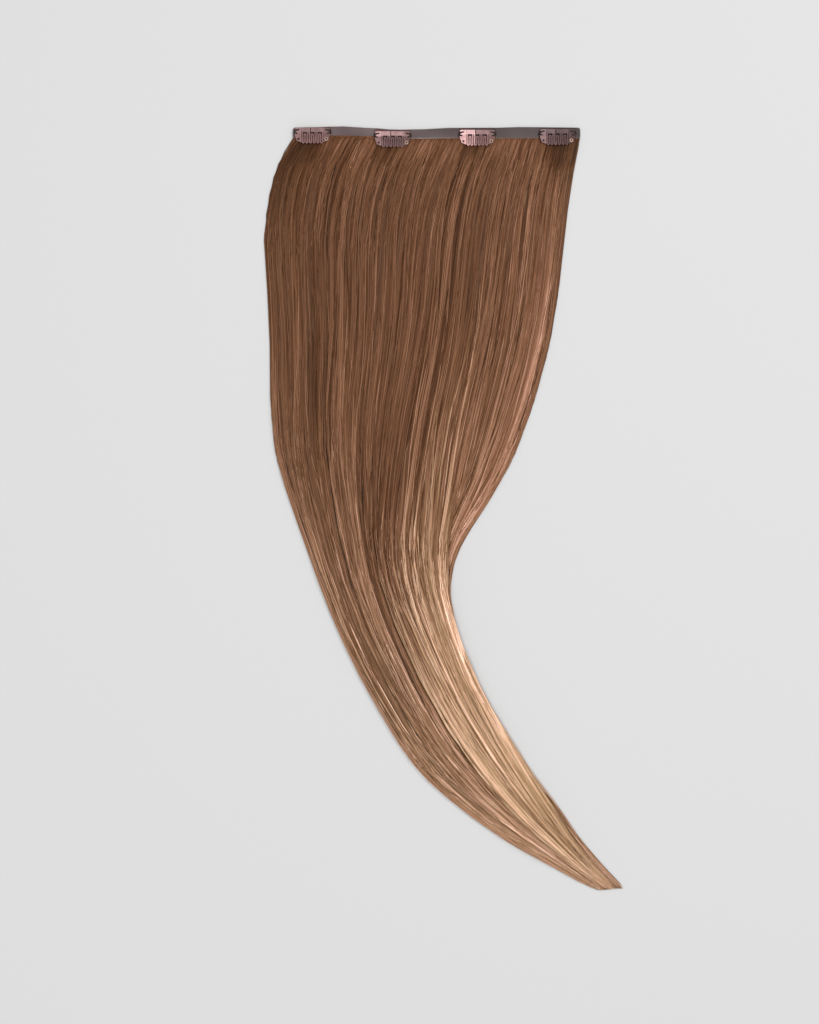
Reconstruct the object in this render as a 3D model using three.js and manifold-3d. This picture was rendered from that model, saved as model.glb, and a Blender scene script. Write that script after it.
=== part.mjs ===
// A clip-in hair extension: one wide weft of long straight hair on a thin skin band with four snap clips.
// Millimetres, +Z up. The weft lies flat, clips up. The origin is the middle of the band's underside,
// +X runs along the band, and the hair falls towards -Y and sweeps to +X at its ends.
import * as THREE from "three";
import { mergeVertices } from "three/addons/utils/BufferGeometryUtils.js";
import Module from "manifold-3d";

const wasm = await Module();
wasm.setup();

// Band: a moulded polyurethane strip that holds the hair roots
const BAND_WIDTH = 200;
const BAND_HEIGHT = 8;
const BAND_THICKNESS = 1.2;
const BAND_CORNER = 1.6;
const BAND_STEPS = 24;
const LOWER_WAVE = 0.3;

// Hair
const HAIR_DROP = 526;
const HAIR_THICKNESS = 9;
const BACKING_SHARE = 0.45;
const HAIR_STEPS = 22;

// Snap clip, stamped from spring sheet
const CLIP_WIDTH = 24.7;
const CLIP_DEPTH = 10.1;
const SHEET = 0.6;
const BAR_DEPTH = 3;
const BAR_OVERHANG = 0.2;
const BAR_CROWN = 0.5;
const SLIT_WIDTH = 0.6;
const BOW_DEPTH = 2.9;
const LOBE_HEIGHT = 1.3;
const SEW_HOLE_RADIUS = 0.55;

// Comb of the clip: hairpin teeth that hang from the bar
const COMB_WIDTH = 14.8;
const COMB_DEPTH = 11;
const TOOTH_COUNT = 6;
const LEG_WIDTH = 0.72;
const LEG_OVERLAP = 0.4;
const ARCH_DEPTH = 4.2;
const PIVOT_DIAMETER = 0.7;
const PIVOT_REACH = 2.4;
const PIVOT_DEPTH = 0.9;
const FOLD_WIDTH = 0.6;

// Eyelet of the clip
const EYELET_BORE = 0.62;
const EYELET_FLOOR = 0.3;
const EYELET_BARREL = 0.8;
const EYELET_FLANGE = 1.35;
const EYELET_LIP = 0.3;
const BOSS_WALL = 0.45;

// Gap between pieces that touch, the fine seam between the comb's bar and the lobes beside it, and how
// far a cutting solid reaches past the face that it opens
const CLEARANCE = 0.3;
const SEAM = 0.12;
const CUT_PAST = 1;

// How the band's upper edge waves: across is a share of the band's width, rise of its height.
// The lower edge follows it by the share LOWER_WAVE.
const BAND_WAVE = [
  { across: -0.5, rise: 0 },
  { across: -0.43, rise: 0.03 },
  { across: -0.33, rise: 0.1 },
  { across: -0.24, rise: -0.03 },
  { across: -0.14, rise: -0.19 },
  { across: -0.05, rise: -0.15 },
  { across: 0.05, rise: -0.03 },
  { across: 0.2, rise: -0.02 },
  { across: 0.3, rise: 0.04 },
  { across: 0.42, rise: 0.01 },
  { across: 0.5, rise: -0.02 },
];

// Each clip's middle as a share of the band's width, and how far it is set below the band's upper edge
const CLIPS = [
  { across: -0.432, inset: 0.55 },
  { across: -0.153, inset: 1.4 },
  { across: 0.142, inset: 1.7 },
  { across: 0.421, inset: 1.4 },
];

// The hair's left and right edges and its thickness, station by station from the band to the tips.
// Across is a share of the band's width, down of the hair's drop, thick of its thickness.
const STATIONS = [
  { leftAcross: -0.498, leftDown: 0.0, rightAcross: 0.498, rightDown: 0.0, thick: 0.1 },
  { leftAcross: -0.545, leftDown: 0.028, rightAcross: 0.486, rightDown: 0.028, thick: 0.2 },
  { leftAcross: -0.579, leftDown: 0.068, rightAcross: 0.467, rightDown: 0.065, thick: 0.34 },
  { leftAcross: -0.601, leftDown: 0.128, rightAcross: 0.448, rightDown: 0.124, thick: 0.46 },
  { leftAcross: -0.59, leftDown: 0.201, rightAcross: 0.428, rightDown: 0.194, thick: 0.54 },
  { leftAcross: -0.581, leftDown: 0.274, rightAcross: 0.397, rightDown: 0.267, thick: 0.6 },
  { leftAcross: -0.579, leftDown: 0.347, rightAcross: 0.345, rightDown: 0.343, thick: 0.67 },
  { leftAcross: -0.56, leftDown: 0.42, rightAcross: 0.272, rightDown: 0.42, thick: 0.76 },
  { leftAcross: -0.51, leftDown: 0.483, rightAcross: 0.18, rightDown: 0.483, thick: 0.86 },
  { leftAcross: -0.456, leftDown: 0.54, rightAcross: 0.087, rightDown: 0.536, thick: 0.95 },
  { leftAcross: -0.386, leftDown: 0.613, rightAcross: 0.049, rightDown: 0.586, thick: 1.0 },
  { leftAcross: -0.298, leftDown: 0.693, rightAcross: 0.067, rightDown: 0.636, thick: 1.0 },
  { leftAcross: -0.18, leftDown: 0.773, rightAcross: 0.134, rightDown: 0.71, thick: 0.97 },
  { leftAcross: -0.06, leftDown: 0.839, rightAcross: 0.219, rightDown: 0.769, thick: 0.9 },
  { leftAcross: 0.099, leftDown: 0.892, rightAcross: 0.311, rightDown: 0.828, thick: 0.78 },
  { leftAcross: 0.252, leftDown: 0.932, rightAcross: 0.404, rightDown: 0.879, thick: 0.64 },
  { leftAcross: 0.438, leftDown: 0.972, rightAcross: 0.514, rightDown: 0.935, thick: 0.48 },
  { leftAcross: 0.545, leftDown: 0.994, rightAcross: 0.598, rightDown: 0.969, thick: 0.34 },
  { leftAcross: 0.625, leftDown: 1.0, rightAcross: 0.648, rightDown: 0.993, thick: 0.2 },
];

// The locks that the hair falls in. Band, waist and tip are places between the left edge at 0 and the
// right edge at 1, width is a share of the hair's width, height of its thickness, ends of its length.
// The six right locks spread over the left ones towards the tip, which makes the crease between them.
const LOCKS = [
  { band: 0.04, waist: 0.07, tip: 0.12, width: 0.13, height: 0.62, ends: 0.9 },
  { band: 0.12, waist: 0.16, tip: 0.18, width: 0.14, height: 0.78, ends: 0.93 },
  { band: 0.2, waist: 0.24, tip: 0.24, width: 0.12, height: 0.66, ends: 0.95 },
  { band: 0.29, waist: 0.33, tip: 0.3, width: 0.14, height: 0.8, ends: 0.955 },
  { band: 0.38, waist: 0.42, tip: 0.36, width: 0.12, height: 0.68, ends: 0.96 },
  { band: 0.47, waist: 0.5, tip: 0.42, width: 0.13, height: 0.76, ends: 0.96 },
  { band: 0.55, waist: 0.59, tip: 0.22, width: 0.14, height: 0.98, ends: 0.975 },
  { band: 0.64, waist: 0.67, tip: 0.36, width: 0.13, height: 0.9, ends: 0.99 },
  { band: 0.72, waist: 0.75, tip: 0.5, width: 0.13, height: 1.0, ends: 1.0 },
  { band: 0.8, waist: 0.82, tip: 0.64, width: 0.13, height: 0.88, ends: 1.0 },
  { band: 0.88, waist: 0.89, tip: 0.76, width: 0.13, height: 0.82, ends: 0.985 },
  { band: 0.96, waist: 0.94, tip: 0.87, width: 0.12, height: 0.64, ends: 0.965 },
];
const WAIST_AT = 0.55;
const TIP_SPREAD = 0.9;
const LOCK_TAPER = 0.22;
const LOCK_TIP = 0.45;
const LOCK_SINK = 0.4;
const HAIR_FINENESS = 0.02;

const skin = new THREE.MeshStandardMaterial({ color: 0x6b5f5d, roughness: 0.45, metalness: 0 });
const hair = new THREE.MeshStandardMaterial({ color: 0x8a6144, roughness: 0.5, metalness: 0 });
const enamel = new THREE.MeshStandardMaterial({ color: 0x8e7069, roughness: 0.35, metalness: 0.6 });
const brass = new THREE.MeshStandardMaterial({ color: 0xc9a06a, roughness: 0.3, metalness: 0.9 });

// Sizes that follow from the driving ones
const toothPitch = (COMB_WIDTH - LEG_WIDTH) / (TOOTH_COUNT - 0.5);
const legGap = toothPitch / 2 - LEG_WIDTH;
const slitPlace = -toothPitch / 2;
const barHalf = COMB_WIDTH / 2 + BAR_OVERHANG;
const lobeInner = barHalf + SEAM;
const lobeWidth = CLIP_WIDTH / 2 - lobeInner;
const lobeTop = LOBE_HEIGHT + SHEET;
const rivetHole = EYELET_BARREL + CLEARANCE;
const bossRadius = rivetHole + BOSS_WALL;
const rivetX = lobeInner + 0.43 * lobeWidth;
const rivetY = -0.78 * CLIP_DEPTH;
const clipBase = BAND_THICKNESS;

function toSolid(geometry) {
  const bare = geometry.clone();
  bare.deleteAttribute("normal");
  bare.deleteAttribute("uv");
  const merged = mergeVertices(bare, 1e-4);
  const mesh = new wasm.Mesh({
    numProp: 3,
    vertProperties: merged.attributes.position.array,
    triVerts: new Uint32Array(merged.index.array),
  });
  return new wasm.Manifold(mesh);
}

function toGeometry(solid) {
  const { vertProperties, triVerts } = solid.getMesh();
  const geometry = new THREE.BufferGeometry();
  geometry.setAttribute("position", new THREE.BufferAttribute(vertProperties, 3));
  geometry.setIndex(new THREE.BufferAttribute(triVerts, 1));
  geometry.computeVertexNormals();
  return geometry;
}

function joined(geometries) {
  return geometries.map(toSolid).reduce((whole, next) => whole.add(next));
}

function plate(shape, low, high, curveSegments = 4) {
  const flat = { depth: high - low, bevelEnabled: false, curveSegments };
  return new THREE.ExtrudeGeometry(shape, flat).translate(0, 0, low);
}

function box(left, right, bottom, top, low, high) {
  const size = new THREE.BoxGeometry(right - left, top - bottom, high - low);
  return size.translate((left + right) / 2, (bottom + top) / 2, (low + high) / 2);
}

function hole(x, y, radius) {
  return new THREE.Path().absarc(x, y, radius, 0, 2 * Math.PI, false);
}

// A smooth value between the rows of a table, at t from 0 at the first row to 1 at the last
function between(rows, column, t) {
  const place = Math.min(Math.max(t, 0), 1) * (rows.length - 1);
  const row = Math.min(Math.floor(place), rows.length - 2);
  const value = (i) => rows[Math.min(Math.max(i, 0), rows.length - 1)][column];
  const [a, b, c, d] = [value(row - 1), value(row), value(row + 1), value(row + 2)];
  const s = place - row;
  return b + 0.5 * s * (c - a + s * (2 * a - 5 * b + 4 * c - d + s * (3 * (b - c) + d - a)));
}

function bandRise(x) {
  const across = Math.min(Math.max(x / BAND_WIDTH, -0.5), 0.5);
  const next = Math.max(BAND_WAVE.findIndex((row) => row.across >= across), 1);
  const [low, high] = [BAND_WAVE[next - 1], BAND_WAVE[next]];
  const share = (across - low.across) / (high.across - low.across);
  const eased = share * share * (3 - 2 * share);
  return BAND_HEIGHT * (low.rise + (high.rise - low.rise) * eased);
}

const upperEdge = (x) => bandRise(x) + BAND_HEIGHT / 2;
const lowerEdge = (x) => LOWER_WAVE * bandRise(x) - BAND_HEIGHT / 2;

function makeBand() {
  const inner = BAND_WIDTH / 2 - BAND_CORNER;
  const along = (step) => -inner + (2 * inner * step) / BAND_STEPS;
  const outline = new THREE.Shape();
  outline.moveTo(-inner, lowerEdge(-inner));
  for (let step = 1; step <= BAND_STEPS; step++) {
    outline.lineTo(along(step), lowerEdge(along(step)));
  }
  outline.absarc(inner, lowerEdge(inner) + BAND_CORNER, BAND_CORNER, -Math.PI / 2, 0, false);
  outline.absarc(inner, upperEdge(inner) - BAND_CORNER, BAND_CORNER, 0, Math.PI / 2, false);
  for (let step = BAND_STEPS - 1; step >= 0; step--) {
    outline.lineTo(along(step), upperEdge(along(step)));
  }
  outline.absarc(-inner, upperEdge(-inner) - BAND_CORNER, BAND_CORNER, Math.PI / 2, Math.PI, false);
  outline.absarc(-inner, lowerEdge(-inner) + BAND_CORNER, BAND_CORNER, Math.PI, 1.5 * Math.PI, false);
  return plate(outline, 0, BAND_THICKNESS);
}

// The left and right edge points of the hair and its thickness at t along it
function hairAt(t) {
  const start = BAND_HEIGHT * (LOWER_WAVE * Math.max(...BAND_WAVE.map((row) => row.rise)) - 0.5);
  const edgePoint = (side) => {
    const x = BAND_WIDTH * between(STATIONS, side + "Across", t);
    const down = between(STATIONS, side + "Down", t);
    return new THREE.Vector2(x, start - HAIR_DROP * down);
  };
  const thick = HAIR_THICKNESS * between(STATIONS, "thick", t);
  return { left: edgePoint("left"), right: edgePoint("right"), thick };
}

// A closed skin over sections of equal point counts, from the first section to the last
function loft(sections) {
  const count = sections[0].length;
  const positions = sections.flat().flatMap((p) => [p.x, p.y, p.z]);
  const triangles = [];
  for (let s = 0; s < sections.length - 1; s++) {
    for (let i = 0; i < count; i++) {
      const [a, b] = [s * count + i, s * count + ((i + 1) % count)];
      triangles.push(a, b + count, b, a, a + count, b + count);
    }
  }
  const last = (sections.length - 1) * count;
  for (let i = 1; i < count - 1; i++) {
    triangles.push(0, i, i + 1, last, last + i + 1, last + i);
  }
  const geometry = new THREE.BufferGeometry();
  geometry.setAttribute("position", new THREE.BufferAttribute(new Float32Array(positions), 3));
  geometry.setIndex(triangles);
  return geometry;
}

// Sections of a strip, flat below and crowned above. Side is a share of the half width, up of the height.
const BACKING_SECTION = [
  { side: -1, up: 0 },
  { side: -0.96, up: 1 },
  { side: 0.96, up: 1 },
  { side: 1, up: 0 },
];
const LOCK_SECTION = [
  { side: -1, up: 0 },
  { side: -0.72, up: 0.7 },
  { side: 0, up: 1 },
  { side: 0.72, up: 0.7 },
  { side: 1, up: 0 },
];

// One section of a strip at t along the hair, centred at place between the edges, from low to high
function stripSection(profile, t, place, halfShare, low, high) {
  const { left, right } = hairAt(t);
  return profile.map(({ side, up }) => {
    const flat = left.clone().lerp(right, place + side * halfShare);
    return new THREE.Vector3(flat.x, flat.y, low + up * (high - low));
  });
}

function makeBacking() {
  const sections = [];
  const ends = 0.93;
  for (let step = 0; step <= HAIR_STEPS; step++) {
    const t = (ends * step) / HAIR_STEPS;
    const narrowed = 0.5 - 0.12 * Math.max(0, (t - 0.75) / (ends - 0.75));
    const height = BACKING_SHARE * hairAt(t).thick;
    sections.push(stripSection(BACKING_SECTION, t, 0.5, narrowed, 0, height));
  }
  return loft(sections);
}

function smooth(share) {
  return share * share * (3 - 2 * share);
}

function makeLock(lock) {
  const sections = [];
  for (let step = 0; step <= HAIR_STEPS; step++) {
    const t = (lock.ends * step) / HAIR_STEPS;
    const upper = smooth(Math.min(t / WAIST_AT, 1));
    const lower = Math.max((t - WAIST_AT) / (1 - WAIST_AT), 0) ** 3;
    const place = lock.band + (lock.waist - lock.band) * upper + (lock.tip - lock.waist) * lower;
    const toEnd = Math.min((lock.ends - t) / LOCK_TAPER, 1);
    const taper = LOCK_TIP + (1 - LOCK_TIP) * smooth(toEnd);
    const wanted = 0.5 * lock.width * (1 + TIP_SPREAD * lower);
    const halfShare = Math.min(wanted * taper, place, 1 - place);
    const { thick } = hairAt(t);
    const low = LOCK_SINK * BACKING_SHARE * thick;
    sections.push(stripSection(LOCK_SECTION, t, place, halfShare, low, thick * lock.height * taper));
  }
  return loft(sections);
}

// The room that the band and a gap below it take from the upper end of the hair
function bandRoom() {
  const lower = (x) => lowerEdge(x) - CLEARANCE;
  const shape = new THREE.Shape();
  shape.moveTo(-BAND_WIDTH, BAND_HEIGHT);
  for (let step = 0; step <= BAND_STEPS; step++) {
    const x = BAND_WIDTH * (step / BAND_STEPS - 0.5);
    shape.lineTo(step === 0 ? -BAND_WIDTH : x, lower(x));
  }
  shape.lineTo(BAND_WIDTH, lower(BAND_WIDTH / 2));
  shape.lineTo(BAND_WIDTH, BAND_HEIGHT);
  return toSolid(plate(shape, -HAIR_THICKNESS, 2 * HAIR_THICKNESS));
}

function makeHair() {
  const whole = joined([makeBacking(), ...LOCKS.map(makeLock)]).subtract(bandRoom());
  return toGeometry(whole.simplify(HAIR_FINENESS));
}

// One end of the clip's frame, with two sewing holes and the rivet's hole
function lobeShape(side) {
  const at = (across, down) => [side * (lobeInner + across * lobeWidth), -down * CLIP_DEPTH];
  const shape = new THREE.Shape();
  shape.moveTo(...at(0, 0));
  shape.lineTo(...at(0.7, 0));
  shape.quadraticCurveTo(...at(0.98, 0), ...at(0.98, 0.22));
  shape.quadraticCurveTo(...at(1.08, 0.6), ...at(0.62, 0.86));
  shape.quadraticCurveTo(...at(0.4, 0.98), ...at(0, 1));
  shape.closePath();
  shape.holes.push(hole(...at(0.38, 0.14), SEW_HOLE_RADIUS));
  shape.holes.push(hole(...at(0.66, 0.4), SEW_HOLE_RADIUS));
  return shape;
}

// The bow under the comb's teeth, a strip from rivet to rivet along the clip's lower edge
function bowShape() {
  const top = -(CLIP_DEPTH - BOW_DEPTH);
  const endBottom = rivetY - 0.8 * bossRadius;
  const shape = new THREE.Shape();
  shape.moveTo(-rivetX, top);
  shape.lineTo(-rivetX, endBottom);
  shape.quadraticCurveTo(-lobeInner, -CLIP_DEPTH, -0.8 * lobeInner, -CLIP_DEPTH);
  shape.lineTo(0.8 * lobeInner, -CLIP_DEPTH);
  shape.quadraticCurveTo(lobeInner, -CLIP_DEPTH, rivetX, endBottom);
  shape.lineTo(rivetX, top);
  shape.closePath();
  return shape;
}

function upright(radius, x, y, low, high, sides) {
  const post = new THREE.CylinderGeometry(radius, radius, high - low, sides);
  return post.rotateX(Math.PI / 2).translate(x, y, (low + high) / 2);
}

function makeFrame() {
  const sheets = [plate(bowShape(), CLEARANCE, CLEARANCE + SHEET)];
  for (const side of [-1, 1]) {
    sheets.push(plate(lobeShape(side), LOBE_HEIGHT, lobeTop));
    sheets.push(upright(bossRadius, side * rivetX, rivetY, CLEARANCE, lobeTop, 12));
  }
  const bores = [
    upright(EYELET_BORE, -rivetX, rivetY, CLEARANCE + EYELET_FLOOR, lobeTop + CUT_PAST, 10),
    upright(rivetHole, rivetX, rivetY, 0, lobeTop + CUT_PAST, 12),
  ];
  return toGeometry(bores.map(toSolid).reduce((frame, bore) => frame.subtract(bore), joined(sheets)));
}

// Two legs joined by a round bend. turn is -1 for a bend at the bottom and 1 for one at the top.
function hairpinShape(x, bend, leftEnd, rightEnd, turn) {
  const inner = legGap / 2;
  const outer = inner + LEG_WIDTH;
  const away = turn < 0 ? 2 * Math.PI : 0;
  const shape = new THREE.Shape();
  shape.moveTo(x - outer, leftEnd);
  shape.lineTo(x - outer, bend);
  shape.absarc(x, bend, outer, Math.PI, away, turn > 0);
  shape.lineTo(x + outer, rightEnd);
  shape.lineTo(x + inner, rightEnd);
  shape.absarc(x, bend, inner, away, Math.PI, turn < 0);
  shape.lineTo(x - inner, leftEnd);
  shape.closePath();
  return shape;
}

// The comb's height over its flat, highest at the slit, where the two halves of the bar meet
function crown(x) {
  const reach = x < slitPlace ? slitPlace + barHalf : barHalf - slitPlace;
  return BAR_CROWN * Math.max(0, 1 - Math.abs(x - slitPlace) / reach);
}

function makeComb() {
  const [low, high] = [LOBE_HEIGHT, lobeTop];
  const pivotHeight = CLEARANCE + PIVOT_DIAMETER / 2;
  const outer = legGap / 2 + LEG_WIDTH;
  const tipBend = -COMB_DEPTH + outer;
  const archBend = -ARCH_DEPTH - outer;
  const barBottom = -BAR_DEPTH;
  const foldTop = -PIVOT_DEPTH + FOLD_WIDTH / 2;
  const foldBottom = -PIVOT_DEPTH - FOLD_WIDTH / 2;
  const halves = [
    [-barHalf, slitPlace - SLIT_WIDTH / 2],
    [slitPlace + SLIT_WIDTH / 2, barHalf],
  ];
  const pieces = halves.flatMap(([left, right]) => [
    box(left, right, barBottom, 0, low, high),
    box(left, right, foldBottom, foldTop, pivotHeight, low + SHEET / 2),
  ]);
  for (let tooth = 0; tooth < TOOTH_COUNT; tooth++) {
    const x = (tooth - (TOOTH_COUNT - 1) / 2) * toothPitch;
    const leftHangs = tooth % 2 === 0;
    const leftEnd = leftHangs ? barBottom + LEG_OVERLAP : archBend;
    const rightEnd = leftHangs ? archBend : barBottom + LEG_OVERLAP;
    pieces.push(plate(hairpinShape(x, tipBend, leftEnd, rightEnd, -1), low, high));
    if (leftHangs) {
      const legEnd = archBend - LEG_OVERLAP;
      pieces.push(plate(hairpinShape(x + toothPitch / 2, archBend, legEnd, legEnd, 1), low, high));
    }
  }
  const pivotLength = 2 * (lobeInner + PIVOT_REACH);
  const pivot = new THREE.CylinderGeometry(PIVOT_DIAMETER / 2, PIVOT_DIAMETER / 2, pivotLength, 8);
  pieces.push(pivot.rotateZ(Math.PI / 2).translate(0, -PIVOT_DEPTH, pivotHeight));
  const comb = toGeometry(joined(pieces));
  const points = comb.attributes.position;
  for (let i = 0; i < points.count; i++) {
    if (points.getZ(i) > low - CLEARANCE / 2) points.setZ(i, points.getZ(i) + crown(points.getX(i)));
  }
  comb.computeVertexNormals();
  return comb;
}

function makeEyelet() {
  const under = lobeTop + CLEARANCE;
  const top = under + EYELET_LIP;
  const rounding = EYELET_LIP / 2;
  const floor = CLEARANCE + EYELET_FLOOR;
  const profile = [
    [0, CLEARANCE],
    [EYELET_BARREL, CLEARANCE],
    [EYELET_BARREL, under],
    [EYELET_FLANGE, under],
    [EYELET_FLANGE, top - rounding],
    [EYELET_FLANGE - rounding, top],
    [EYELET_BORE, top],
    [EYELET_BORE, floor],
    [0, floor],
  ].map(([radius, height]) => new THREE.Vector2(radius, height));
  return new THREE.LatheGeometry(profile, 12).rotateX(Math.PI / 2);
}

function named(name, geometry, material) {
  const mesh = new THREE.Mesh(geometry, material);
  mesh.name = name;
  return mesh;
}

function makeClip(number, { across, inset }) {
  const clip = new THREE.Group();
  const x = across * BAND_WIDTH;
  clip.position.set(x, upperEdge(x) - inset, clipBase);
  clip.add(named(`clip_${number}_frame`, makeFrame(), enamel));
  clip.add(named(`clip_${number}_comb`, makeComb(), enamel));
  const eyelet = named(`clip_${number}_eyelet`, makeEyelet(), brass);
  eyelet.position.set(rivetX, rivetY, 0);
  clip.add(eyelet);
  return clip;
}

const extension = new THREE.Group();
extension.add(named("band", makeBand(), skin));
extension.add(named("hair_fall", makeHair(), hair));
CLIPS.forEach((place, index) => extension.add(makeClip(index + 1, place)));

export default extension;
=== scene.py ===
import math
from types import SimpleNamespace

import bpy
import numpy as np
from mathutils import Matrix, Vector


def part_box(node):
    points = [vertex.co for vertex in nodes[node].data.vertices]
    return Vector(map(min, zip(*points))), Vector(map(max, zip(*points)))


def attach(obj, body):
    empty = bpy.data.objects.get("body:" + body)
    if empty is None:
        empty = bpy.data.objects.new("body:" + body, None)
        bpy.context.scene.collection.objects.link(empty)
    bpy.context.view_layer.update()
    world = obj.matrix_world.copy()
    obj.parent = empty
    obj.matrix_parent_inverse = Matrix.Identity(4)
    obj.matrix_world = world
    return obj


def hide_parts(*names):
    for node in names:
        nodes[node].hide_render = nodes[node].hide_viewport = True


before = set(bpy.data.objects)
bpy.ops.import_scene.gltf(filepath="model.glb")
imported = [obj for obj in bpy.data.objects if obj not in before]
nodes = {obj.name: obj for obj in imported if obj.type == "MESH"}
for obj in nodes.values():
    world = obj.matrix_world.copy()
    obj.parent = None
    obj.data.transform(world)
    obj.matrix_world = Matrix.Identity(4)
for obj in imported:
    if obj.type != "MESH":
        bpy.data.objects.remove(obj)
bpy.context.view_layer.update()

MM = 0.001


# The camera looks straight down on the weft, as a catalogue photographer's does from a high stand.
# The picture is 1024 pixels high, and the middle of the band lies a little right of its centre.
PICTURE_HEIGHT = 1024
PIXEL = 0.697 * MM
BAND_PIXEL_RIGHT_OF_CENTRE = 27
BAND_PIXEL_ABOVE_CENTRE = 378.5
LENS = 100
SENSOR_WIDTH = 36

camera_data = bpy.data.cameras.new("camera")
camera_data.lens = LENS
camera_data.sensor_width = SENSOR_WIDTH
camera = bpy.data.objects.new("camera", camera_data)
bpy.context.scene.collection.objects.link(camera)
camera.location = (
    -BAND_PIXEL_RIGHT_OF_CENTRE * PIXEL,
    -BAND_PIXEL_ABOVE_CENTRE * PIXEL,
    PICTURE_HEIGHT * PIXEL * LENS / SENSOR_WIDTH,
)
bpy.context.scene.camera = camera


# The band is a thin strip of poured polyurethane skin, satin and slightly clear, and the hair roots are
# set in its lower edge. It is grey and warmer towards the roots, with painted shade beside the clips and
# towards its right end.
BAND_SKIN = (0.115, 0.077, 0.077, 1)
BAND_CLOUDED = (0.19, 0.137, 0.139, 1)
BAND_ROOTS = (0.12, 0.072, 0.052, 1)
# Painted shade beside and under the clips, and towards the band's right end
BAND_SHADE = (0.75, 0.5, 0.47, 1)
BAND_RIGHT_SHADE = (0.52, 0.52, 0.5, 1)
RIGHT_FROM = -55 * MM
RIGHT_TO = 70 * MM
ROOTS_FROM = -3.9 * MM
ROOTS_TO = -2.4 * MM
ROOT_STREAK_DARK = (0.62, 0.6, 0.58, 1)
ROOT_STREAK_PALE = (1.25, 1.2, 1.15, 1)
BAND_EDGE_RADIUS = 0.35 * MM
CLIP_NUMBERS = (1, 2, 3, 4)
CLIP_HALF = 12.35 * MM
SHADE_PAST_CLIP = 1.5 * MM
SHADE_UNDER_CLIP = 1 * MM


def clip_place(number):
    """The x of a clip's middle and the y of its upper edge."""
    low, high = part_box(f"clip_{number}_frame")
    return (low.x + high.x) / 2, high.y


def add_node(tree, kind, **settings):
    node = tree.nodes.new(kind)
    for name, value in settings.items():
        setattr(node, name, value)
    return node


def new_finish(name):
    """A material with only its output and a Principled shader."""
    finish = bpy.data.materials.new(name)
    finish.use_nodes = True
    return finish, finish.node_tree, finish.node_tree.nodes["Principled BSDF"]


def stretched_noise(tree, coordinates, stretch, scale, detail=3):
    """Noise drawn out along an axis, from the given coordinates."""
    mapping = add_node(tree, "ShaderNodeMapping")
    mapping.inputs["Scale"].default_value = stretch
    noise = add_node(tree, "ShaderNodeTexNoise")
    noise.inputs["Scale"].default_value = scale
    noise.inputs["Detail"].default_value = detail
    tree.links.new(coordinates, mapping.inputs["Vector"])
    tree.links.new(mapping.outputs["Vector"], noise.inputs["Vector"])
    return noise.outputs["Fac"]


def colour_ramp(tree, factor, stops):
    """Colours along a factor, each stop a position and a colour."""
    ramp = add_node(tree, "ShaderNodeValToRGB")
    for extra in range(len(stops) - 2):
        ramp.color_ramp.elements.new(0.5)
    for element, (position, colour) in zip(ramp.color_ramp.elements, stops):
        element.position = position
        element.color = colour
    tree.links.new(factor, ramp.inputs["Fac"])
    return ramp.outputs["Color"]


def blend_colours(tree, kind, factor, first, second):
    """Two colours blended by a factor that is a number or another node's value."""
    mix = add_node(tree, "ShaderNodeMix", data_type="RGBA", blend_type=kind)
    if isinstance(factor, (int, float)):
        mix.inputs["Factor"].default_value = factor
    else:
        tree.links.new(factor, mix.inputs["Factor"])
    tree.links.new(first, mix.inputs["A"])
    if isinstance(second, tuple):
        mix.inputs["B"].default_value = second
    else:
        tree.links.new(second, mix.inputs["B"])
    return mix.outputs["Result"]


def between_limits(tree, value, low, high):
    """0 where the value is at low, 1 where it is at high, and smooth between them."""
    limits = add_node(tree, "ShaderNodeMapRange", interpolation_type="SMOOTHSTEP")
    limits.inputs["From Min"].default_value = low
    limits.inputs["From Max"].default_value = high
    tree.links.new(value, limits.inputs["Value"])
    return limits.outputs["Result"]


def calculate(tree, operation, first, second=0.0):
    """A sum, product or the like of two values, each a number or another node's value."""
    sum_node = add_node(tree, "ShaderNodeMath", operation=operation)
    for socket, value in zip(sum_node.inputs, (first, second)):
        if isinstance(value, (int, float)):
            socket.default_value = value
        else:
            tree.links.new(value, socket)
    return sum_node.outputs["Value"]


def add_bump(tree, height, strength, distance, shader):
    """Gives a shader the relief of a height."""
    bump = add_node(tree, "ShaderNodeBump")
    bump.inputs["Strength"].default_value = strength
    bump.inputs["Distance"].default_value = distance
    tree.links.new(height, bump.inputs["Height"])
    tree.links.new(bump.outputs["Normal"], shader.inputs["Normal"])


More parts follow.
